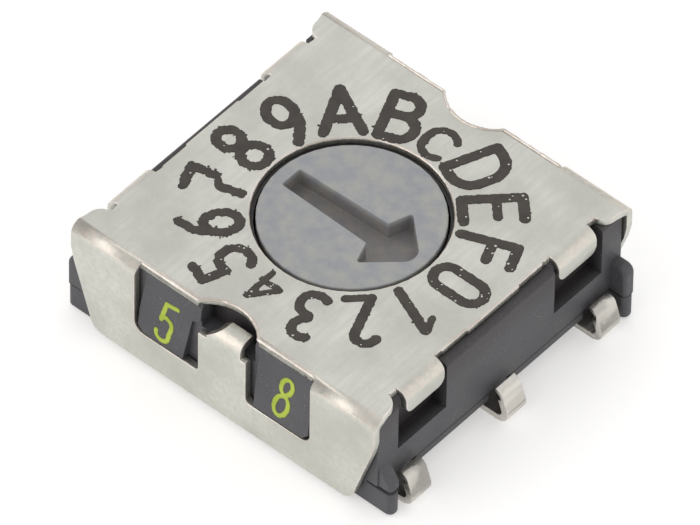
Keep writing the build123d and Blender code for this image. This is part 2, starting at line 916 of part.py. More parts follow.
def two():
    bow((-0.04, 0.40), 0.20, -15, 165)
    bar((0.15, 0.35), (-0.20, -0.44))
    bar((-0.22, -0.46), (0.26, -0.46), medium_stroke)


def three():
    bow((-0.05, 0.37), 0.215, -75, 190)
    bow((-0.05, -0.19), 0.25, -140, 225)
    bar((-0.05, 0.12), (-0.02, 0.08))


def four():
    bar((0.13, 0.22), (-0.23, -0.24), fine_stroke)
    bar((-0.23, -0.24), (0.18, -0.24), fine_stroke)
    bar((0.13, 0.22), (0.13, -0.46), fine_stroke)


def five():
    bar((-0.24, 0.61), (0.14, 0.61))
    bar((-0.24, 0.61), (-0.22, 0.20))
    bow((-0.08, -0.11), 0.29, -135, 255)


def six():
    loop((-0.055, -0.14), 0.235, 0.32)
    bar((-0.28, -0.02), (-0.20, 0.36))
    bar((-0.20, 0.36), (0.02, 0.62))


def seven():
    bar((-0.32, 0.59), (0.17, 0.59))
    bar((0.17, 0.57), (0.08, 0.12))
    bar((0.08, 0.12), (-0.15, -0.06), fine_stroke)
    bar((-0.14, -0.02), (-0.18, -0.44))


def eight():
    loop((-0.10, 0.35), 0.215, 0.24)
    loop((-0.09, -0.24), 0.25, 0.255)


def nine():
    loop((-0.07, 0.27), 0.245, 0.31)
    bar((0.17, 0.22), (0.13, -0.12))
    bar((0.13, -0.12), (-0.09, -0.50))


def letter_a():
    bar((-0.01, 0.54), (-0.37, -0.49))
    bar((-0.01, 0.54), (0.33, -0.49))
    bar((-0.20, -0.17), (0.18, -0.17))


def letter_b():
    bar((-0.18, 0.53), (-0.18, -0.50))
    bar((-0.18, 0.53), (0.13, 0.53))
    bar((-0.18, 0.06), (0.16, 0.06))
    bar((-0.18, -0.50), (0.15, -0.50))
    bow((0.12, 0.295), 0.235, -90, 180)
    bow((0.14, -0.22), 0.28, -90, 180)


def letter_c():
    bow((0.07, -0.12), 0.29, 35, 180, fine_stroke)
    bow((0.07, -0.22), 0.29, 150, 160, fine_stroke)
    bar((-0.22, -0.12), (-0.22, -0.22), fine_stroke)


def letter_d():
    bar((-0.28, 0.57), (-0.28, -0.48))
    bar((-0.28, 0.57), (-0.05, 0.57))
    bar((-0.28, -0.48), (-0.05, -0.48))
    bow((-0.05, 0.17), 0.40, 0, 90)
    bar((0.35, 0.17), (0.35, -0.08))
    bow((-0.05, -0.08), 0.40, -90, 90)


def letter_e():
    bar((-0.21, 0.59), (-0.21, -0.49))
    bar((-0.21, 0.59), (0.30, 0.59))
    bar((-0.21, 0.12), (0.23, 0.12), medium_stroke)
    bar((-0.21, -0.49), (0.30, -0.49))


def letter_f():
    bar((-0.18, 0.58), (-0.18, -0.48))
    bar((-0.18, 0.58), (0.30, 0.58))
    bar((-0.18, 0.12), (0.25, 0.12))


characters = [
    zero, one, two, three, four, five, six, seven,
    eight, nine, letter_a, letter_b, letter_c, letter_d, letter_e, letter_f,
]

with BuildPart() as dial_print:
    for number, character in enumerate(characters):
        turn = radians(-number * 360 / position_count)
        character_plane = Plane(
            origin=(dial_radius * cos(turn), dial_radius * sin(turn), cover_top),
            x_dir=(sin(turn), -cos(turn), 0),
            z_dir=(0, 0, 1),
        )
        with BuildSketch(character_plane):
            character()
        extrude(amount=ink)

dial_print.part.label = "dial_print"
export_step(dial_print.part, "parts/dial_print.step")


# Printed digits on the two window blocks of one flap
def side_five():
    bar((-0.05, 0.44), (0.24, 0.47), digit_stroke)
    bar((-0.05, 0.44), (-0.16, -0.04), digit_stroke)
    bow((-0.03, -0.10), 0.16, -10, 150, digit_stroke)
    bar((0.128, -0.128), (0.07, -0.40), digit_stroke)
    bow((-0.09, -0.43), 0.163, 170, 200, digit_stroke)


def side_eight():
    loop((0.05, 0.34), 0.135, 0.23, digit_stroke, -digit_tilt)
    loop((-0.05, -0.23), 0.165, 0.30, digit_stroke, -digit_tilt)


digit_height = cover_top - digit_centre_drop
digit_face = block_face - (digit_height - block_sill) * tan(block_lean)

for name, place, digit in (
    ("side_digit_left", -five_place, side_five),
    ("side_digit_right", eight_place, side_eight),
):
    with BuildPart() as side_print:
        with BuildSketch(
            Plane(
                origin=(place, -digit_face, digit_height),
                x_dir=(1, 0, 0),
                z_dir=(0, -cos(block_lean), sin(block_lean)),
            )
        ):
            digit()
            scale(by=digit_scale)
        extrude(amount=digit_ink)
    side_print.part.label = name
    export_step(side_print.part, f"parts/{name}.step")
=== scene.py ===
# %% [markdown]
# # A rotary code switch, under eight millimetres wide
#
# This lesson dresses a finished construction model for a photograph. The switch is a square
# of folded metal over a dark moulding. A grey rotor turns in its middle, sixteen characters are
# printed round it, and six hooked terminals stand along two sides.
#
# The construction model arrives already placed, so it is loaded first and never moved. Everything
# made here is measured from it. Blender counts in metres, so a millimetre gets a name.

# %% Load the construction model
import json

import bmesh
import bpy
import numpy as np
from mathutils import Matrix, Vector


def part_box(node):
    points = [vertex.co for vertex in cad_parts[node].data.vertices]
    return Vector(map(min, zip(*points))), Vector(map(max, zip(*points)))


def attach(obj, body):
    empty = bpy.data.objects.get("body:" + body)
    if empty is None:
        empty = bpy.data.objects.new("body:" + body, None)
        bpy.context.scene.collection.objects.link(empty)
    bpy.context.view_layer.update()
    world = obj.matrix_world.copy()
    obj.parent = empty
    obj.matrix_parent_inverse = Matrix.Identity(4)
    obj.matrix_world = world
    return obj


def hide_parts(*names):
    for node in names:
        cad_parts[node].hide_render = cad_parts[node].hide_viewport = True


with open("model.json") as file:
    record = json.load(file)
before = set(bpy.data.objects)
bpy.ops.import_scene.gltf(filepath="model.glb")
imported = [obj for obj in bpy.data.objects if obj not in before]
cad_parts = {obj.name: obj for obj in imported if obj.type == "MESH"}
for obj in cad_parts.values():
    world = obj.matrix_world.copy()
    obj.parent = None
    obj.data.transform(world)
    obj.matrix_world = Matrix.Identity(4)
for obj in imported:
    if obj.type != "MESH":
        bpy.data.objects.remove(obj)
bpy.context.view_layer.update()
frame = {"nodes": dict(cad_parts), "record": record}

MM = 0.001
nodes = frame["nodes"]

# %% [markdown]
# ## Heights from the model
#
# A later piece has to sit exactly on what carries it. The heights could be typed in, but then they
# would be wrong as soon as the model changed. So they are read from the boxes of the loaded pieces.

# %% Heights from the model
cover_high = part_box("cover")[1]
cover_top = cover_high.z
rotor_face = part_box("rotor")[1].z
print("cover top", round(cover_top / MM, 3), "rotor face", round(rotor_face / MM, 3))

# %% [markdown]
# ## The camera
#
# A small part is photographed from far away with a long lens, which keeps its parallel edges nearly
# parallel. The camera stands on a line that leaves the aim point at an azimuth and an elevation.
# A lens of f millimetres on a 36 mm sensor sees f times 700 / 36 pixels for each unit of slope.

# %% Camera
SENSOR_WIDTH = 36.0
PIXELS_ACROSS = 700
FOCAL_PIXELS = 16000.0
camera_azimuth = np.radians(40.362)
camera_elevation = np.radians(48.459)
camera_roll = np.radians(0.876)
camera_distance = 280.316 * MM
aim_point = Vector((-0.0018, -0.0333, 1.25)) * MM


def direction(azimuth, elevation):
    """The unit vector (sin a cos e, -cos a cos e, sin e), which leaves the switch."""
    return Vector((
        np.sin(azimuth) * np.cos(elevation),
        -np.cos(azimuth) * np.cos(elevation),
        np.sin(elevation),
    ))


def looking_back(outward):
    """The turn that makes a camera or a lamp, which look along -Z, look back along a direction."""
    return (-outward).to_track_quat("-Z", "Y").to_matrix().to_4x4()


def place_camera(azimuth, elevation, roll, distance, aim):
    """The camera stands at aim + distance * direction, and roll turns it about its line of sight."""
    outward = direction(azimuth, elevation)
    stand = Matrix.Translation(aim + outward * distance)
    camera = bpy.data.objects.new("camera", bpy.data.cameras.new("camera"))
    camera.matrix_world = stand @ looking_back(outward) @ Matrix.Rotation(roll, 4, "Z")
    camera.data.sensor_width = SENSOR_WIDTH
    camera.data.lens = FOCAL_PIXELS * SENSOR_WIDTH / PIXELS_ACROSS
    camera.data.clip_start = distance / 10
    camera.data.clip_end = distance * 100
    bpy.context.scene.collection.objects.link(camera)
    bpy.context.scene.camera = camera
    return camera


camera = place_camera(camera_azimuth, camera_elevation, camera_roll, camera_distance, aim_point)
print("lens", round(camera.data.lens, 1), "mm, distance", round(camera_distance / MM, 1), "mm")

# %% [markdown]
# ## Node materials in a few words
#
# Every finish here is a small graph of nodes. Writing each link by hand hides the idea, so a few
# helpers come first: they add a node and fill its sockets, make a noise of a given grain, fade
# between two values of a noise, and mix two colours. Patterns read Object coordinates in metres, so
# a grain of 0.2 mm is a noise of scale 1 / 0.0002. A painted picture would need the pieces to be
# unwrapped, and it would blur close up.

# %% Node helpers
scene = bpy.context.scene
scene.view_settings.view_transform = "Standard"


def node(tree, kind, inputs=None, **settings):
    """Add a node, set its properties, and set or link its input sockets by name or number."""
    made = tree.nodes.new(kind)
    for name, value in settings.items():
        setattr(made, name, value)
    for name, value in (inputs or {}).items():
        if isinstance(value, bpy.types.NodeSocket):
            tree.links.new(value, made.inputs[name])
        else:
            made.inputs[name].default_value = value
    return made


def blank_material(name):
    """A material with an empty node tree, a shader and an output."""
    material = bpy.data.materials.new(name)
    material.use_nodes = True
    tree = material.node_tree
    tree.nodes.clear()
    shader = node(tree, "ShaderNodeBsdfPrincipled")
    node(tree, "ShaderNodeOutputMaterial", {"Surface": shader.outputs[0]})
    return material, tree, shader


def place_in(tree, stretch=(1, 1, 1), turn=(0, 0, 0)):
    """Object coordinates, turned and then stretched, as one vector socket."""
    where = node(tree, "ShaderNodeTexCoord").outputs["Object"]
    mapping = node(tree, "ShaderNodeMapping", {"Vector": where, "Scale": stretch, "Rotation": turn})
    return mapping.outputs[0]


def grain(tree, size, detail=2.0, where=None):
    """A noise whose blobs are about size metres across, from 0 to 1."""
    where = where or place_in(tree)
    noise = node(tree, "ShaderNodeTexNoise", {"Vector": where, "Scale": 1 / size, "Detail": detail})
    return noise.outputs["Fac"]


def fade(tree, value, low, high, start, end):
    """Map a value that runs from low to high onto start to end, and hold it there outside."""
    ramp = node(
        tree, "ShaderNodeMapRange",
        {"Value": value, "From Min": low, "From Max": high, "To Min": start, "To Max": end},
    )
    return ramp.outputs[0]


def patches(tree, noise, most=1.0):
    """Soft patches from 0 to most. A noise rarely leaves 0.35 to 0.65, so that part is spread."""
    return fade(tree, noise, 0.35, 0.65, 0, most)


def mixed(tree, amount, first, second):
    """Colour first where amount is 0, second where it is 1."""
    mix = node(tree, "ShaderNodeMix", {0: amount, 6: first, 7: second}, data_type="RGBA")
    return mix.outputs[2]


def roughened(tree, shader, noise, middle, spread):
    """Roughness that follows a noise from middle - spread to middle + spread."""
    rough = fade(tree, noise, 0.3, 0.7, middle - spread, middle + spread)
    tree.links.new(rough, shader.inputs["Roughness"])


def bumped(tree, shader, height, depth, distance):
    """Tilt the shader's normal by a height from 0 to 1 that stands for distance metres."""
    bump = node(
        tree, "ShaderNodeBump", {"Height": height, "Strength": depth, "Distance": distance}
    )
    tree.links.new(bump.outputs[0], shader.inputs["Normal"])


def linear(red, green, blue):
    """A screen colour from 0 to 255 as the linear colour that a shader takes."""
    screen = np.array([red, green, blue]) / 255
    value = np.where(screen > 0.04045, ((screen + 0.055) / 1.055) ** 2.4, screen / 12.92)
    return (*map(float, value), 1.0)


print("a middle grey of 128 on the screen is", round(linear(128, 128, 128)[0], 3), "in a shader")

# %% [markdown]
# ## The satin metal of the cover and the terminals
#
# The sheet is nickelled steel with a dull, even sheen. Rolled sheet is never one flat tone: broad
# clouds a millimetre wide lie under faint streaks, and a fine pebble breaks up the highlights
# along each bend. The clouds and the streaks go into the colour, and the pebble goes into the
# roughness and the bump. One function serves all metals, because they differ only in tone, sheen
# and pebble.

# %% Metals
METAL_CLOUDS = 1.1 * MM
STREAK_WIDTH = 0.10 * MM
STREAK_SQUASH = 0.08


def satin_metal(name, pale, dark, roughness, pebble_size, pebble_depth, streak_turn=0.0):
    """Metal whose colour is pale in the clouds, dark between them, and half dark in the streaks."""
    material, tree, shader = blank_material(name)
    along = place_in(tree, (1, STREAK_SQUASH, 1), (0, 0, streak_turn))
    pebble = grain(tree, pebble_size)
    cloudy = mixed(tree, patches(tree, grain(tree, METAL_CLOUDS, 3.0)), dark, pale)
    shade = mixed(tree, patches(tree, grain(tree, STREAK_WIDTH, 2.0, along), 0.5), cloudy, dark)
    tree.links.new(shade, shader.inputs["Base Color"])
    shader.inputs["Metallic"].default_value = 1.0
    roughened(tree, shader, pebble, roughness, 0.06)
    bumped(tree, shader, pebble, pebble_depth, pebble_size / 8)
    return material


cover_metal = satin_metal(
    "cover_metal", linear(221, 221, 213), linear(200, 200, 192), 0.42, 0.06 * MM, 0.6, np.radians(45)
)
terminal_metal = satin_metal(
    "terminal_metal", linear(228, 225, 218), linear(206, 202, 194), 0.36, 0.07 * MM, 1.0
)
spring_steel = satin_metal(
    "spring_steel", linear(190, 188, 182), linear(175, 173, 168), 0.25, 0.04 * MM, 0.2
)
contact_metal = satin_metal(
    "contact_metal", linear(222, 190, 110), linear(208, 174, 95), 0.28, 0.04 * MM, 0.2
)
# Bare cut steel, whose pale tone is also a painted highlight on rounded edges and beads.
bare_steel_and_highlight = satin_metal(
    "bare_steel_and_highlight", linear(246, 240, 233), linear(206, 196, 186), 0.30, 0.05 * MM, 1.0
)
metals = (cover_metal, terminal_metal, spring_steel, contact_metal, bare_steel_and_highlight)
print("metals", [metal.name for metal in metals])

# %% [markdown]
# ## Second layers
#
# Some finishes need one more layer on top. The next helper takes a finished material, an amount
# from 0 to 1 and a colour, and lays that colour over the base or multiplies it in. The first use
# is a painted highlight on the bends of the cover: a paler, warm colour laid on in speckles. A
# bend is where the surface looks neither straight up nor straight sideways, so the amount comes
# from the normal.

# %% Layers, and a painted highlight on the bends
def times(tree, *factors):
    """The product of several value sockets."""
    total = factors[0]
    for factor in factors[1:]:
        total = node(tree, "ShaderNodeMath", {0: total, 1: factor}, operation="MULTIPLY").outputs[0]
    return total


def layered(material, amount, colour, blend="MIX"):
    """Lay a colour over the base colour by an amount socket of the same tree."""
    tree = material.node_tree
    base = next(n for n in tree.nodes if n.type == "BSDF_PRINCIPLED").inputs["Base Color"]
    below = base.links[0].from_socket
    mix = node(
        tree, "ShaderNodeMix", {0: amount, 6: below, 7: colour}, data_type="RGBA", blend_type=blend
    )
    tree.links.new(mix.outputs[2], base)


def part_of(tree, vector, axis):
    """One component of a vector socket."""
    return node(tree, "ShaderNodeSeparateXYZ", {0: vector}).outputs[axis]


def from_middle(tree, vector, axis):
    """The size of one component, which is the distance from the plane through the middle."""
    value = part_of(tree, vector, axis)
    return node(tree, "ShaderNodeMath", {0: value}, operation="ABSOLUTE").outputs[0]


# Painted highlight: a paler, warm colour laid in speckles on the bends of the cover.
tree = cover_metal.node_tree
upward = part_of(tree, node(tree, "ShaderNodeNewGeometry").outputs["Normal"], "Z")
above_flap = fade(tree, upward, 0.15, 0.40, 0, 1)
below_plate = fade(tree, upward, 0.90, 0.985, 1, 0)
highlight_speckles = fade(tree, grain(tree, 0.09 * MM, 3.0), 0.34, 0.66, 0.2, 1)
layered(cover_metal, times(tree, above_flap, below_plate, highlight_speckles), linear(229, 220, 209))
print("painted bend highlight added to", cover_metal.name)

# %% [markdown]
# ## Mouldings
#
# The housing and the base are a dark, slightly purple grey plastic with a fine spark-eroded grain.
# The rotor is a paler grey, with bluish and warm clouds where the filler has flowed. A single noise
# gives both the pale specks of filler, at its peaks, and the dark pits, in its hollows.

# %% Moulded plastics
SPECK_SIZE = 0.035 * MM


def moulded(name, first, second, roughness, cloud_size, grain_size, grain_depth, pitting=0.35):
    """Plastic that drifts from the first colour to the second in clouds, with specks and pits."""
    material, tree, shader = blank_material(name)
    fine = grain(tree, grain_size, 3.0)
    specks = grain(tree, SPECK_SIZE, 1.0)
    shade = mixed(tree, patches(tree, grain(tree, cloud_size, 3.0)), first, second)
    shade = mixed(tree, fade(tree, specks, 0.70, 0.78, 0, 0.35), shade, linear(190, 190, 188))
    shade = mixed(tree, fade(tree, specks, 0.26, 0.42, pitting, 0), shade, linear(30, 30, 31))
    tree.links.new(shade, shader.inputs["Base Color"])
    roughened(tree, shader, fine, roughness, 0.05)
    bumped(tree, shader, fine, grain_depth, grain_size / 6)
    return material


housing_plastic = moulded(
    "housing_plastic", linear(77, 76, 80), linear(86, 85, 88), 0.48, 0.9 * MM, 0.04 * MM, 0.3
)
base_plastic = moulded(
    "base_plastic", linear(78, 77, 82), linear(86, 85, 89), 0.50, 0.9 * MM, 0.04 * MM, 0.3
)
rotor_plastic = moulded(
    "rotor_plastic", linear(152, 155, 161), linear(169, 169, 165), 0.42, 0.30 * MM, 0.05 * MM, 0.5,
    pitting=0.08,
)
seal_rubber = moulded(
    "seal_rubber", linear(30, 30, 31), linear(36, 36, 37), 0.7, 0.5 * MM, 0.03 * MM, 0.3
)
print("plastics", [m.name for m in (housing_plastic, base_plastic, rotor_plastic, seal_rubber)])

# %% [markdown]
# ## Painted shade
#
# The arrow's recess gets painted shade, darker the deeper it lies. On the housing, painted shade
# fills the pockets behind the tabs and the sides under the rim of the cover, and a thin dark band
# of painted shade marks the joint where the ears stand on the feet of the base. All of these are
# places and not pieces, so they are fades of the Object coordinates, multiplied into the plastic's
# own colour.

# %% The arrow's recess
RECESS_RIM, RECESS_FLOOR = 0.02 * MM, 0.14 * MM

# Painted shade: the rotor's colour darkens in the arrow's recess, more the deeper it lies.
tree = rotor_plastic.node_tree
height = part_of(tree, place_in(tree), "Z")
painted_recess_shade = fade(tree, height, rotor_face - RECESS_FLOOR, rotor_face - RECESS_RIM, 1, 0)
layered(rotor_plastic, painted_recess_shade, linear(213, 207, 204), "MULTIPLY")
print("painted shade below", round((rotor_face - RECESS_RIM) / MM, 3), "mm")

# %% Painted shade on the housing
POCKET_WALL, SIDE_WALL = 3.25 * MM, 3.42 * MM
POCKET_END, SIDE_END = 2.90 * MM, 3.05 * MM
UNSHADED_BELOW, DARK_ABOVE = 1.70 * MM, 2.15 * MM

tree = housing_plastic.node_tree
where = place_in(tree)
sideways = from_middle(tree, where, "X")
# Painted shade in the pockets behind the tabs.
pocket_painted_shade = times(
    tree, fade(tree, sideways, POCKET_WALL, SIDE_WALL, 1, 0),
    fade(tree, from_middle(tree, where, "Y"), POCKET_END, SIDE_END, 1, 0),
)
layered(housing_plastic, pocket_painted_shade, linear(176, 170, 165), "MULTIPLY")
# Painted shade on the upper side walls under the rim of the cover, darker towards the top.
painted_shade_under_rim = times(
    tree, fade(tree, part_of(tree, where, "Z"), UNSHADED_BELOW, DARK_ABOVE, 0, 1),
    fade(tree, sideways, POCKET_WALL, SIDE_WALL, 0, 1),
)
layered(housing_plastic, painted_shade_under_rim, linear(212, 204, 200), "MULTIPLY")
print("painted shade from", round(UNSHADED_BELOW / MM, 2), "to", round(DARK_ABOVE / MM, 2), "mm up")

# %% Painted shade in the joint at the corners
SIDE_FACE = 3.44 * MM
JOINT_ABOVE_FOOT = 0.55 * MM
JOINT_CORE, JOINT_EDGE = 0.012 * MM, 0.034 * MM

joint_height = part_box("base")[0].z + JOINT_ABOVE_FOOT
for material in (housing_plastic, base_plastic):
    tree = material.node_tree
    where = place_in(tree)
    height = part_of(tree, where, "Z")
    # Painted shade: a thin dark band at the joint between the ears and the feet, on the sides.
    seam_painted_shade = times(
        tree, fade(tree, height, joint_height - JOINT_EDGE, joint_height - JOINT_CORE, 0, 1),
        fade(tree, height, joint_height + JOINT_CORE, joint_height + JOINT_EDGE, 1, 0),
        fade(tree, from_middle(tree, where, "X"), SIDE_FACE - 0.04 * MM, SIDE_FACE, 0, 1),
    )
    layered(material, seam_painted_shade, linear(108, 100, 97), "MULTIPLY")
print("joint height", round(joint_height / MM, 3))

# %% [markdown]
# ## Inks
#
# The dial is printed in a thick dark brown-grey ink. The two side digits are a yellow-green that
# thins at its edges, so the dark moulding shows through it there. The ink's own mesh is made later
# and carries its depth from the rim, in millimetres, as an attribute that the material reads.

# %% Inks
THIN_RIM = 0.022  # in millimetres, as the attribute is


def ink(name, first, second, roughness):
    """Ink that drifts from the first colour to the second in clouds, with a fine bump."""
    material, tree, shader = blank_material(name)
    shade = mixed(tree, patches(tree, grain(tree, 0.25 * MM, 3.0)), first, second)
    tree.links.new(shade, shader.inputs["Base Color"])
    shader.inputs["Roughness"].default_value = roughness
    bumped(tree, shader, grain(tree, 0.03 * MM), 0.5, 0.004 * MM)
    return material


dial_ink = ink("dial_ink", linear(56, 50, 45), linear(68, 61, 55), 0.5)
digit_ink = ink("digit_ink", linear(172, 192, 58), linear(192, 208, 80), 0.55)
tree = digit_ink.node_tree
film_depth = node(tree, "ShaderNodeAttribute", attribute_name="depth").outputs["Fac"]
layered(digit_ink, fade(tree, film_depth, 0.0, THIN_RIM, 0.85, 0), linear(96, 112, 42))
print("inks", dial_ink.name, digit_ink.name)

# %% [markdown]
# ## Assigning the finishes
#
# A piece whose shape is right keeps its mesh and gets a better material. The record names a slot
# for each node, and the finishes above carry the same names.

# %% Assign materials to the loaded nodes
finishes = {
    "cover_metal": cover_metal, "terminal_metal": terminal_metal, "spring_steel": spring_steel,
    "contact_metal": contact_metal, "housing_plastic": housing_plastic, "base_plastic": base_plastic,
    "rotor_plastic": rotor_plastic, "seal_rubber": seal_rubber, "dial_ink": dial_ink,
    "digit_ink": digit_ink,
}
slot_of = {part["node"]: part["material_slot"] for part in frame["record"]["subparts"]}
for name, piece in nodes.items():
    piece.data.materials.clear()
    piece.data.materials.append(finishes[slot_of[name]])
print("finished nodes", len(slot_of))

# %% [markdown]
# ## Softened edges
#
# No punched or moulded edge is perfectly sharp, and a sharp edge never catches the light. The
# loaded mesh is loose triangles, so a copy is merged into whole flat faces first. A Bevel modifier
# then rounds each edge that turns sharply, and a weight from 0 to 1 on an edge says how much of the
# full width it gets. The copy stands for the node.

# %% A merged copy of a node
SHARP_TURN = np.radians(35)
FLAT_TURN = np.radians(0.2)
SAME_POINT = 0.0001 * MM


def read(items, field, width=1, kind=float):
    """One field of all the items of a mesh, as an array with a row for each item."""
    values = np.empty(width * len(items), kind)
    items.foreach_get(field, values)
    return values.reshape(-1, width) if width > 1 else values


def merged(node_name):
    """A node's loose triangles with their shared corners joined."""
    work = bmesh.new()
    work.from_mesh(nodes[node_name].data)
    bmesh.ops.remove_doubles(work, verts=work.verts, dist=SAME_POINT)
    return work


def merged_copy(node_name):
    """A mesh of whole flat faces made from a node, and the turn at each of its edges."""
    work = merged(node_name)
    bmesh.ops.dissolve_limit(
        work, angle_limit=FLAT_TURN, verts=work.verts, edges=work.edges, delimit={"NORMAL"}
    )
    mesh = bpy.data.meshes.new(node_name + "_soft")
    work.to_mesh(mesh)
    turn = np.array([edge.calc_face_angle(0) for edge in work.edges])
    work.free()
    return mesh, turn


def edge_ends(mesh):
    """Both end points of every edge, as an array of edge, end and axis."""
    return read(mesh.vertices, "co", 3)[read(mesh.edges, "vertices", 2, int)]


print("edges that turn more than", round(np.degrees(SHARP_TURN)), "degrees are rounded")

# %% A rounded copy of a node
def link(name, mesh, material):
    """A smooth-shaded object of a mesh, with one material, in the scene."""
    mesh.polygons.foreach_set("use_smooth", np.ones(len(mesh.polygons), bool))
    mesh.materials.append(material)
    piece = bpy.data.objects.new(name, mesh)
    scene.collection.objects.link(piece)
    return piece


def stand_for(piece, node_name):
    """Let a new piece ride with a node's body and replace the node."""
    bodies = frame["record"]["behaviour"]["bodies"]
    body = next(body for body, names in bodies.items() if node_name in names)
    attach(piece, body)
    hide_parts(node_name)


def softened(node_name, width, weigh=None, edge_finish=None):
    """A merged copy whose sharp edges are arcs of the given width times their weight."""
    mesh, turn = merged_copy(node_name)
    weight = (turn > SHARP_TURN).astype(np.float32)
    mesh.attributes.new("sharp_turn", "FLOAT", "EDGE").data.foreach_set("value", weight)
    if weigh is not None:
        weight *= weigh(edge_ends(mesh))
    mesh.attributes.new("bevel_weight_edge", "FLOAT", "EDGE").data.foreach_set("value", weight)
    piece = link(node_name + "_soft", mesh, finishes[slot_of[node_name]])
    bevel = piece.modifiers.new("edge", "BEVEL")
    bevel.width = width
    bevel.segments = 3
    bevel.limit_method = "WEIGHT"
    bevel.use_clamp_overlap = False
    flat = piece.modifiers.new("flat", "WEIGHTED_NORMAL")
    flat.mode = "FACE_AREA"
    flat.weight = 50
    if edge_finish is not None:
        mesh.materials.append(edge_finish)
        bevel.material = 1
    stand_for(piece, node_name)
    return piece


# %% [markdown]
# ## The cover's edges
#
# A punch pulls the sheet down before it cuts through, so the upper edge of every punched line is
# rolled over, and its rounding shows bare steel. The rounded faces get a pale finish whose tone is
# also a painted highlight, so the rim of the hole and the lip over each window shine. The upper
# edges get the full width, all others less. Short steps in the outer rim get less too, because the
# full width would turn them into spikes. Edges inside a bend get none, because the facets there are
# narrower than the rounding.

# %% Cover
ROLLOVER = 0.035 * MM
OTHER_EDGES = 0.4
SAME_FACE = 0.01 * MM
SHORT_STEP = 0.06 * MM
BEYOND_HOLE = 2.2 * MM
BEND_OUTSIDE = 0.25 * MM
BEND_DEPTH = 0.2 * MM
bend_start = cover_high.y - BEND_OUTSIDE - 0.001 * MM


def punched_weight(ends):
    """1 for an edge in the plate's upper face, 0 inside a front or back bend, 0.4 elsewhere."""
    on_top = (np.abs(ends[:, :, 2] - cover_top) < SAME_FACE).all(1)
    short = np.linalg.norm(ends[:, 0] - ends[:, 1], axis=1) < SHORT_STEP
    outer = np.hypot(ends[:, :, 0], ends[:, :, 1]).mean(1) > BEYOND_HOLE
    in_bend = (np.abs(ends[:, :, 1]) > bend_start).all(1)
    in_bend &= (ends[:, :, 2] > cover_top - BEND_DEPTH).all(1)
    return np.where(in_bend, 0.0, np.where(on_top & ~(short & outer), 1.0, OTHER_EDGES))


cover_soft = softened("cover", ROLLOVER, punched_weight, bare_steel_and_highlight)
print("cover faces", len(cover_soft.data.polygons))

# %% [markdown]
# ## The rolled lip
#
# Along the windows and the notch between them, the lip shines as one band from corner to corner.
# At its ends the edge dips into the bend, where the rounding above can't follow. So a thin bead is
# laid over its whole length: a circle swept along the path of the upper edge, half sunk into the
# sheet. The radius wanders slightly, as a punched edge does.

# %% The path of the lip
LIP_HALF = 2.04 * MM
LIP_DEPTH = 0.02 * MM


def lip_path(side):
    """The upper edge of the windows and the notch on one side of Y, ordered along X.

    The outer face of the bend is a quarter circle, so a point is on it where its height over the
    bend's axis is the square root of the radius squared less the distance from that axis squared.
    """
    mesh = cover_soft.data
    sharp = read(mesh.attributes["sharp_turn"].data, "value", kind=np.float32) > 0
    points = edge_ends(mesh)[sharp].reshape(-1, 3)
    reach = side * points[:, 1]
    past_axis = np.maximum(reach - (cover_high.y - BEND_OUTSIDE), 0)
    rise = np.sqrt(np.maximum(BEND_OUTSIDE**2 - past_axis**2, 0))
    outer = np.abs(points[:, 2] - (cover_top - BEND_OUTSIDE) - rise) < SAME_FACE
    near = (reach > BEYOND_HOLE) & (np.abs(points[:, 0]) < LIP_HALF)
    near &= points[:, 2] > cover_top - LIP_DEPTH
    chosen = np.unique(np.round(points[outer & near] / MM, 4), axis=0) * MM
    return chosen[np.argsort(chosen[:, 0])]


lips = {"front": lip_path(-1), "back": lip_path(1)}
for word, path in lips.items():
    print(word, "lip points", len(path), "from", path[0] / MM, "to", path[-1] / MM)

# %% Beads along the lips
BEAD_RADIUS = 0.032 * MM
BEAD_WANDER = 0.003 * MM
BEAD_SUNK = 0.012 * MM
BEAD_STEP = 0.025 * MM
BEAD_CORNERS = 12
BEAD_WAVES = (0.10 * MM, 0.5 * MM, 30)


def waves(where, shortest, longest, count, chance):
    """A sum of sine waves with random directions, lengths and phases, about 1 high."""
    length = chance.uniform(shortest, longest, count)
    angle = chance.uniform(0, 2 * np.pi, count)
    vectors = np.stack([np.cos(angle), np.sin(angle)]) * 2 * np.pi / length
    return np.sin(where @ vectors + chance.uniform(0, 2 * np.pi, count)).sum(1) / np.sqrt(count / 2)


def bead(name, path, seed):
    """A tube: path + radius * (cos a * side + sin a * up), with rounded ends.

    The path is resampled at even steps. The radius falls to zero at both ends as the square root of
    the distance from the end.
    """
    chance = np.random.default_rng(seed)
    run = np.concatenate([[0], np.cumsum(np.linalg.norm(np.diff(path, axis=0), axis=1))])
    along = np.linspace(0, run[-1], int(run[-1] / BEAD_STEP))
    line = np.stack([np.interp(along, run, path[:, i]) for i in range(3)], 1)
    tangent = np.gradient(line, axis=0)
    tangent /= np.linalg.norm(tangent, axis=1)[:, None]
    across = np.cross(tangent, (0, 0, 1))
    across /= np.linalg.norm(across, axis=1)[:, None]
    up = np.cross(across, tangent)
    rough = waves(np.stack([along, 0 * along], 1), *BEAD_WAVES, chance)
    end = np.minimum(along, along[-1] - along) / (2 * BEAD_RADIUS)
    size = (BEAD_RADIUS + BEAD_WANDER * rough) * np.sqrt(np.clip(end, 0, 1))
    turn = np.linspace(0, 2 * np.pi, BEAD_CORNERS, endpoint=False)
    ring = np.cos(turn)[:, None] * across[:, None] + np.sin(turn)[:, None] * up[:, None]
    points = (line[:, None] + size[:, None, None] * ring).reshape(-1, 3)
    grid = np.arange(len(points)).reshape(len(line), BEAD_CORNERS)
    following = np.roll(grid, -1, axis=1)
    faces = np.stack([grid[:-1], following[:-1], following[1:], grid[1:]], -1).reshape(-1, 4)
    mesh = bpy.data.meshes.new(name)
    mesh.from_pydata(points.tolist(), [], faces.tolist())
    piece = link(name, mesh, bare_steel_and_highlight)
    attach(piece, "case")
    print(name, "faces", len(faces))


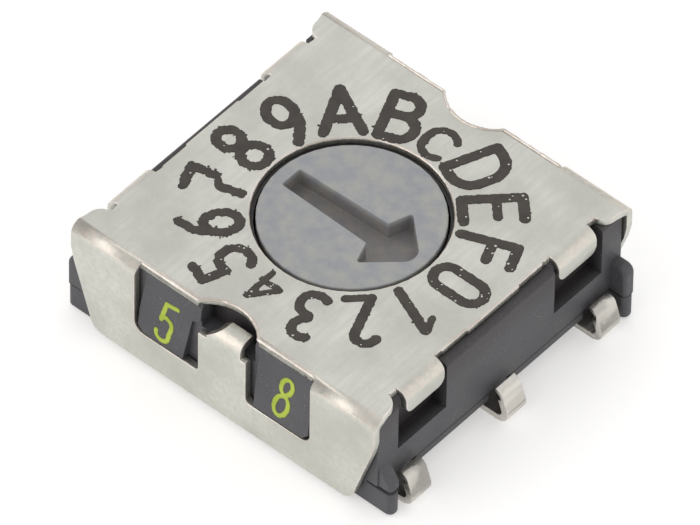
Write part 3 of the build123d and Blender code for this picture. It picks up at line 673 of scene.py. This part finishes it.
# The beads take the pale bare-steel finish, which also paints the lip's highlight.
for word, path in lips.items():
    bead("lip_" + word, path - np.array([0, 0, BEAD_SUNK]), seed=11)

# %% [markdown]
# ## The edges of the mouldings and the terminals
#
# A mould leaves a small radius on the edges of the base and the rotor, so both get the same
# rounding, only finer. A terminal is stamped from strip: the cut edges along the strip are bare
# steel, whose pale tone is also a painted highlight. Its bends are smooth already, so only edges that
# lie in either side of the strip are rounded.
# The housing keeps its loaded mesh, because rounding would spoil the shade of its large side faces.

# %% Mouldings and terminals
MOULD_EDGES = {"base": 0.02 * MM, "rotor": 0.015 * MM}
STRIP_EDGE = 0.012 * MM


def strip_rim(ends):
    """1 for an edge along either side of a strip that runs across Y, 0 for any other."""
    sides = ends[:, :, 1]
    off_rim = np.minimum(abs(sides - sides.min()), abs(sides - sides.max()))
    return (off_rim < 0.001 * MM).all(1) * 1.0


for name, width in MOULD_EDGES.items():
    softened(name, width)
for name in [n for n in nodes if n.startswith("terminal_")]:
    softened(name, STRIP_EDGE, strip_rim, bare_steel_and_highlight)

# %% [markdown]
# ## Ink with a ragged edge
#
# Pad-printed ink never ends in a clean line. It creeps along the grain of the metal, and tiny
# bubbles leave round holes in it. A bump could fake that, but the film has a real edge that shows
# close up. So each printed character becomes a field on a fine square grid: the distance to its
# outline, positive inside. Waves of random direction shake the field, and each bubble or speck
# is a small disc taken away or added. The ink is where the field is positive.

# %% Outline of a printed node
def printed_outlines(node_name, normal):
    """The outline segments of each character on the face that looks along the normal.

    An outline edge belongs to exactly one triangle of that face. Characters are told apart by
    giving every vertex the lowest vertex number that it can reach along edges.
    """
    work = merged(node_name)
    mesh = bpy.data.meshes.new("outline")
    work.to_mesh(mesh)
    work.free()
    points = read(mesh.vertices, "co", 3)
    facing = read(mesh.polygons, "normal", 3)
    top = read(mesh.polygons, "vertices", 3, int)[facing @ normal > 0.99]
    bpy.data.meshes.remove(mesh)
    edges = np.concatenate([top[:, [0, 1]], top[:, [1, 2]], top[:, [2, 0]]])
    order = np.sort(edges, axis=1)
    _, first, count = np.unique(order, axis=0, return_index=True, return_counts=True)
    rim = edges[first[count == 1]]
    label = np.arange(len(points))
    reached = False
    while not reached:
        lowest = np.minimum(label[edges[:, 0]], label[edges[:, 1]])
        further = label.copy()
        np.minimum.at(further, edges[:, 0], lowest)
        np.minimum.at(further, edges[:, 1], lowest)
        reached = (further == label).all()
        label = further
    return [points[rim[label[rim[:, 0]] == name]] for name in np.unique(label[rim[:, 0]])]


print("characters on the dial", len(printed_outlines("dial_print", (0, 0, 1))))

# %% Distance to an outline
def inside_distance(where, start, end):
    """Distance to the nearest segment, negative outside.

    A point is inside where a ray along the first axis crosses the outline an odd number of times.
    """
    along = end - start
    share = ((where[:, None] - start) * along).sum(2) / (along**2).sum(1)
    nearest = start + np.clip(share, 0, 1)[..., None] * along
    distance = np.linalg.norm(where[:, None] - nearest, axis=2).min(1)
    level = where[:, None, 1]
    spans = (start[:, 1] > level) != (end[:, 1] > level)
    rise = np.where(along[:, 1] == 0, 1, along[:, 1])
    crossing = start[:, 0] + (level - start[:, 1]) / rise * along[:, 0]
    odd = (spans & (crossing > where[:, None, 0])).sum(1) % 2 == 1
    return np.where(odd, distance, -distance)


square = np.array([(0, 0), (1, 0), (1, 1), (0, 1)])
in_and_out = np.array([(0.5, 0.5), (1.5, 0.5)])
print("in and beside a unit square", inside_distance(in_and_out, square, np.roll(square, -1, 0)))

# %% The positive part of a grid
def positive_part(points, values, shape):
    """The triangles of a square grid where the value is positive, cut along its zero line.

    Each square is two triangles. Where the sign changes along an edge, a new point is put at the
    share of the edge at which the value, taken as linear, is zero.
    """
    grid = np.arange(values.size).reshape(shape)
    a, b, c, d = grid[:-1, :-1], grid[1:, :-1], grid[1:, 1:], grid[:-1, 1:]
    triangles = np.stack([np.stack([a, b, c], -1), np.stack([a, c, d], -1)]).reshape(-1, 3)
    positive = values[triangles] > 0
    count = positive.sum(1)
    turn = np.arange(3)
    one = triangles[count == 1]
    one = np.take_along_axis(one, (positive[count == 1].argmax(1)[:, None] + turn) % 3, 1)
    two = triangles[count == 2]
    two = np.take_along_axis(two, ((~positive[count == 2]).argmax(1)[:, None] + turn) % 3, 1)
    crossed = np.concatenate([one[:, [0, 1]], one[:, [0, 2]], two[:, [1, 0]], two[:, [2, 0]]])
    pairs, back = np.unique(crossed, axis=0, return_inverse=True)
    back = back.ravel() + values.size
    share = values[pairs[:, 0]] / (values[pairs[:, 0]] - values[pairs[:, 1]])
    cut_points = points[pairs[:, 0]] + share[:, None] * (points[pairs[:, 1]] - points[pairs[:, 0]])
    near, far = back[: len(one)], back[len(one): 2 * len(one)]
    left, right = back[2 * len(one): 2 * len(one) + len(two)], back[2 * len(one) + len(two):]
    faces = np.concatenate([
        triangles[count == 3],
        np.stack([one[:, 0], near, far], 1),
        np.stack([left, two[:, 1], two[:, 2]], 1),
        np.stack([left, two[:, 2], right], 1),
    ])
    used, faces = np.unique(faces, return_inverse=True)
    all_points = np.concatenate([points, cut_points])[used]
    all_values = np.concatenate([values, np.zeros(len(pairs))])[used]
    return all_points, all_values, faces.reshape(-1, 3)


corners = np.array([(0.0, 0.0), (0.0, 1.0), (1.0, 0.0), (1.0, 1.0)])
cut = positive_part(corners, corners.sum(1) - 1.5, (2, 2))
print("one corner of a square stays:", len(cut[2]), "triangles on", len(cut[0]), "points")

# %% [markdown]
# ## From the field to a film
#
# The positive part becomes the top of the film, and its height over the carrier follows the
# distance to the edge along a quarter circle, so the rim is round and the middle is flat. The same
# points, lowered by that height, close it from below. The distance stays on the mesh as the
# attribute that the digits' material reads.

# %% A film of ink
SHOULDER = 0.025 * MM
MARGIN_CELLS = 4
BUBBLES_INSIDE = 0.055 * MM
SPECKS_OUTSIDE = 0.008 * MM
BAND_HALF = 0.02 * MM
DOT_RADII = (0.012, 0.025)  # in millimetres
RAGGED_WAVES = (0.05 * MM, 0.22 * MM, 40)


def ink_film(node_name, normal, upward, seed, cell, spread, ragged, bubbles, specks, dome):
    """A closed, softly domed film over each character of a printed node.

    The edge is the character's own outline, moved outwards by the spread and shaken by waves.
    The height over the carrier is dome times a quarter circle of the distance to that edge.
    """
    chance = np.random.default_rng(seed)
    normal = np.array(normal) / np.linalg.norm(normal)
    across = np.cross(upward, normal)
    across /= np.linalg.norm(across)
    up = np.cross(normal, across)
    all_points, all_faces, all_depths, offset = [], [], [], 0
    for segments in printed_outlines(node_name, normal):
        level = (segments[0, 0] @ normal) - dome
        flat = np.stack([segments @ across, segments @ up], -1)
        start, end = flat[:, 0], flat[:, 1]
        low, high = start.min(0) - MARGIN_CELLS * cell, start.max(0) + MARGIN_CELLS * cell
        lines = [np.arange(low[i], high[i], cell) for i in (0, 1)]
        where = np.stack(np.meshgrid(*lines, indexing="ij"), -1).reshape(-1, 2)
        middle = (low + high) / 2
        field = inside_distance(where, start, end) + spread(middle)
        field = field + ragged(middle) * waves(where, *RAGGED_WAVES, chance)
        for inside, number, sign in ((BUBBLES_INSIDE, bubbles, -1), (-SPECKS_OUTSIDE, specks, 1)):
            band = where[np.abs(field - inside) < BAND_HALF]
            for spot in band[chance.integers(0, len(band), chance.poisson(number(middle)))]:
                reach = np.linalg.norm(where - spot, axis=1) - chance.uniform(*DOT_RADII) * MM
                field = np.minimum(field, reach) if sign < 0 else np.maximum(field, -reach)
        points, depth, faces = positive_part(where, field, tuple(len(line) for line in lines))
        height = dome * np.sqrt(1 - (1 - np.clip(depth / SHOULDER, 0, 1)) ** 2)
        top = points @ np.stack([across, up]) + (level + height)[:, None] * normal
        inner = depth > 0
        below = np.arange(len(points))
        below[inner] = len(points) + np.arange(inner.sum())
        bottom = top[inner] - height[inner, None] * normal
        all_points += [top, bottom]
        all_faces += [faces + offset, below[faces][:, ::-1] + offset]
        all_depths += [depth, depth[inner]]
        offset += len(top) + len(bottom)
    points, faces = np.concatenate(all_points), np.concatenate(all_faces)
    mesh = bpy.data.meshes.new(node_name + "_film")
    mesh.from_pydata(points.tolist(), [], faces.tolist())
    mesh.attributes.new("depth", "FLOAT", "POINT").data.foreach_set(
        "value", (np.concatenate(all_depths) / MM).astype(np.float32)
    )
    stand_for(link(node_name + "_film", mesh, finishes[slot_of[node_name]]), node_name)
    print(node_name, "triangles", len(faces))


print("bubbles and specks are", [2 * radius for radius in DOT_RADII], "mm wide")

# %% [markdown]
# ## The dial and the side digits
#
# The pad pressed hardest beside the A, so the ink spread most there. It lifted last near the
# characters 5 to 8, where the edge is most ragged. The pinholes gather on the opposite side. All
# three are smooth functions of the direction from the rotor's axis. The digits on the leaning
# window blocks are printed cleanly, and their films lean with the blocks.

# %% Print the dial and the digits
def towards(middle, degrees):
    """1 where a character lies in this direction from the axis, 0 on the far side."""
    heading = np.radians(degrees)
    return 0.5 + 0.5 * (middle @ [np.cos(heading), np.sin(heading)]) / np.linalg.norm(middle)


def front_normal(node_name):
    """The sum of area times normal over the faces of a node that look to the front."""
    polygons = nodes[node_name].data.polygons
    facing = read(polygons, "normal", 3)
    to_front = (facing[:, 1] < -0.9)[:, None]
    return (facing * read(polygons, "area")[:, None] * to_front).sum(0)


ink_film(
    "dial_print", (0, 0, 1), (0, 1, 0), seed=16, cell=0.014 * MM,
    spread=lambda middle: (0.003 + 0.013 * towards(middle, 90)) * MM,
    ragged=lambda middle: (0.004 + 0.005 * towards(middle, 200) ** 2) * MM,
    bubbles=lambda middle: 1.5 + 4 * towards(middle, 350),
    specks=lambda middle: 1 + 5 * towards(middle, 200) ** 2,
    dome=0.010 * MM,
)
digit_normal = front_normal("side_digit_left")
for name, seed in (("side_digit_left", 5), ("side_digit_right", 8)):
    ink_film(
        name, digit_normal, (0, 0, 1), seed=seed, cell=0.010 * MM,
        spread=lambda middle: 0,
        ragged=lambda middle: 0.003 * MM,
        bubbles=lambda middle: 0,
        specks=lambda middle: 0,
        dome=0.007 * MM,
    )

# %% [markdown]
# ## The floor and the daylight
#
# The floor is a pale sheet. Its own diffuse part keeps the shadow under the switch, and a small glow
# that only the eye and reflections see lifts it to white. More light would bleach the metal as well.
# The floor lies a hair under the terminals, because two faces at one height would flicker. Round it
# all stands an even world, which the eye sees as white and the switch gets as a softer light.

# %% Floor
FLOOR_HALF = 150 * MM
FLOOR_DROP = 0.004 * MM
EYE_GLOW = 0.42
MIRROR_GLOW = 0.32

floor_mesh = bpy.data.meshes.new("floor")
corner = np.array([(-1, -1, 0), (1, -1, 0), (1, 1, 0), (-1, 1, 0)]) * FLOOR_HALF
corner[:, 2] = -FLOOR_DROP
floor_mesh.from_pydata(corner.tolist(), [], [(0, 1, 2, 3)])
floor = bpy.data.objects.new("floor", floor_mesh)
scene.collection.objects.link(floor)

floor_paper, tree, shader = blank_material("floor_paper")
shader.inputs["Base Color"].default_value = (0.80, 0.80, 0.80, 1)
shader.inputs["Roughness"].default_value = 0.9
shader.inputs["Specular IOR Level"].default_value = 0.0
paths = node(tree, "ShaderNodeLightPath")
mirrored = node(
    tree, "ShaderNodeMath",
    {0: paths.outputs["Is Glossy Ray"], 1: paths.outputs["Is Transmission Ray"]}, operation="MAXIMUM",
)
mirrored = times(tree, mirrored.outputs[0], MIRROR_GLOW)
straight = times(tree, paths.outputs["Is Camera Ray"], EYE_GLOW)
glow = node(tree, "ShaderNodeMath", {0: straight, 1: mirrored}, operation="ADD")
shader.inputs["Emission Color"].default_value = (1, 0.99, 0.975, 1)
tree.links.new(glow.outputs[0], shader.inputs["Emission Strength"])
floor_mesh.materials.append(floor_paper)
print("floor", round(2 * FLOOR_HALF / MM), "mm wide,", round(FLOOR_DROP / MM, 3), "mm down")

# %% World
TENT_STRENGTH = 0.70

world = bpy.data.worlds.new("daylight")
scene.world = world
world.use_nodes = True
tree = world.node_tree
tree.nodes.clear()
paths = node(tree, "ShaderNodeLightPath")
strength = fade(tree, paths.outputs["Is Camera Ray"], 0, 1, TENT_STRENGTH, 1.0)
sky = node(tree, "ShaderNodeBackground", {"Color": (1, 1, 1, 1), "Strength": strength})
node(tree, "ShaderNodeOutputWorld", {"Surface": sky.outputs[0]})
print("the world lights the switch at", TENT_STRENGTH)

# %% [markdown]
# ## Three lamps
#
# Satin metal shows what it mirrors, so each wide lamp stands where one part of the cover looks: one
# for the plate, one for the front bends and one for the bends of the tabs. Their strengths are low,
# so that a colour renders about as it is written.

# %% Lamps
def softbox(name, azimuth, elevation, distance, size, power, colour=(1, 1, 1)):
    """A square lamp at an azimuth and elevation in degrees, aimed at the switch's middle."""
    outward = direction(np.radians(azimuth), np.radians(elevation))
    lamp = bpy.data.lights.new(name, "AREA")
    lamp.size = size
    lamp.energy = power
    lamp.color = colour
    holder = bpy.data.objects.new(name, lamp)
    holder.matrix_world = Matrix.Translation(outward * distance) @ looking_back(outward)
    scene.collection.objects.link(holder)


softbox("behind_left", -140, 50, 200 * MM, 200 * MM, 0.033)
softbox("front_left", -30, 30, 180 * MM, 190 * MM, 0.10, (1.0, 0.97, 0.94))
softbox("right", 124, 26, 180 * MM, 170 * MM, 0.028, (1.0, 0.98, 0.96))

# %% [markdown]
# ## The end
#
# The dressed switch must stay inside the construction model's box, but for the thickness of ink and
# of a rolled edge.

# %% Finish
bpy.context.view_layer.update()
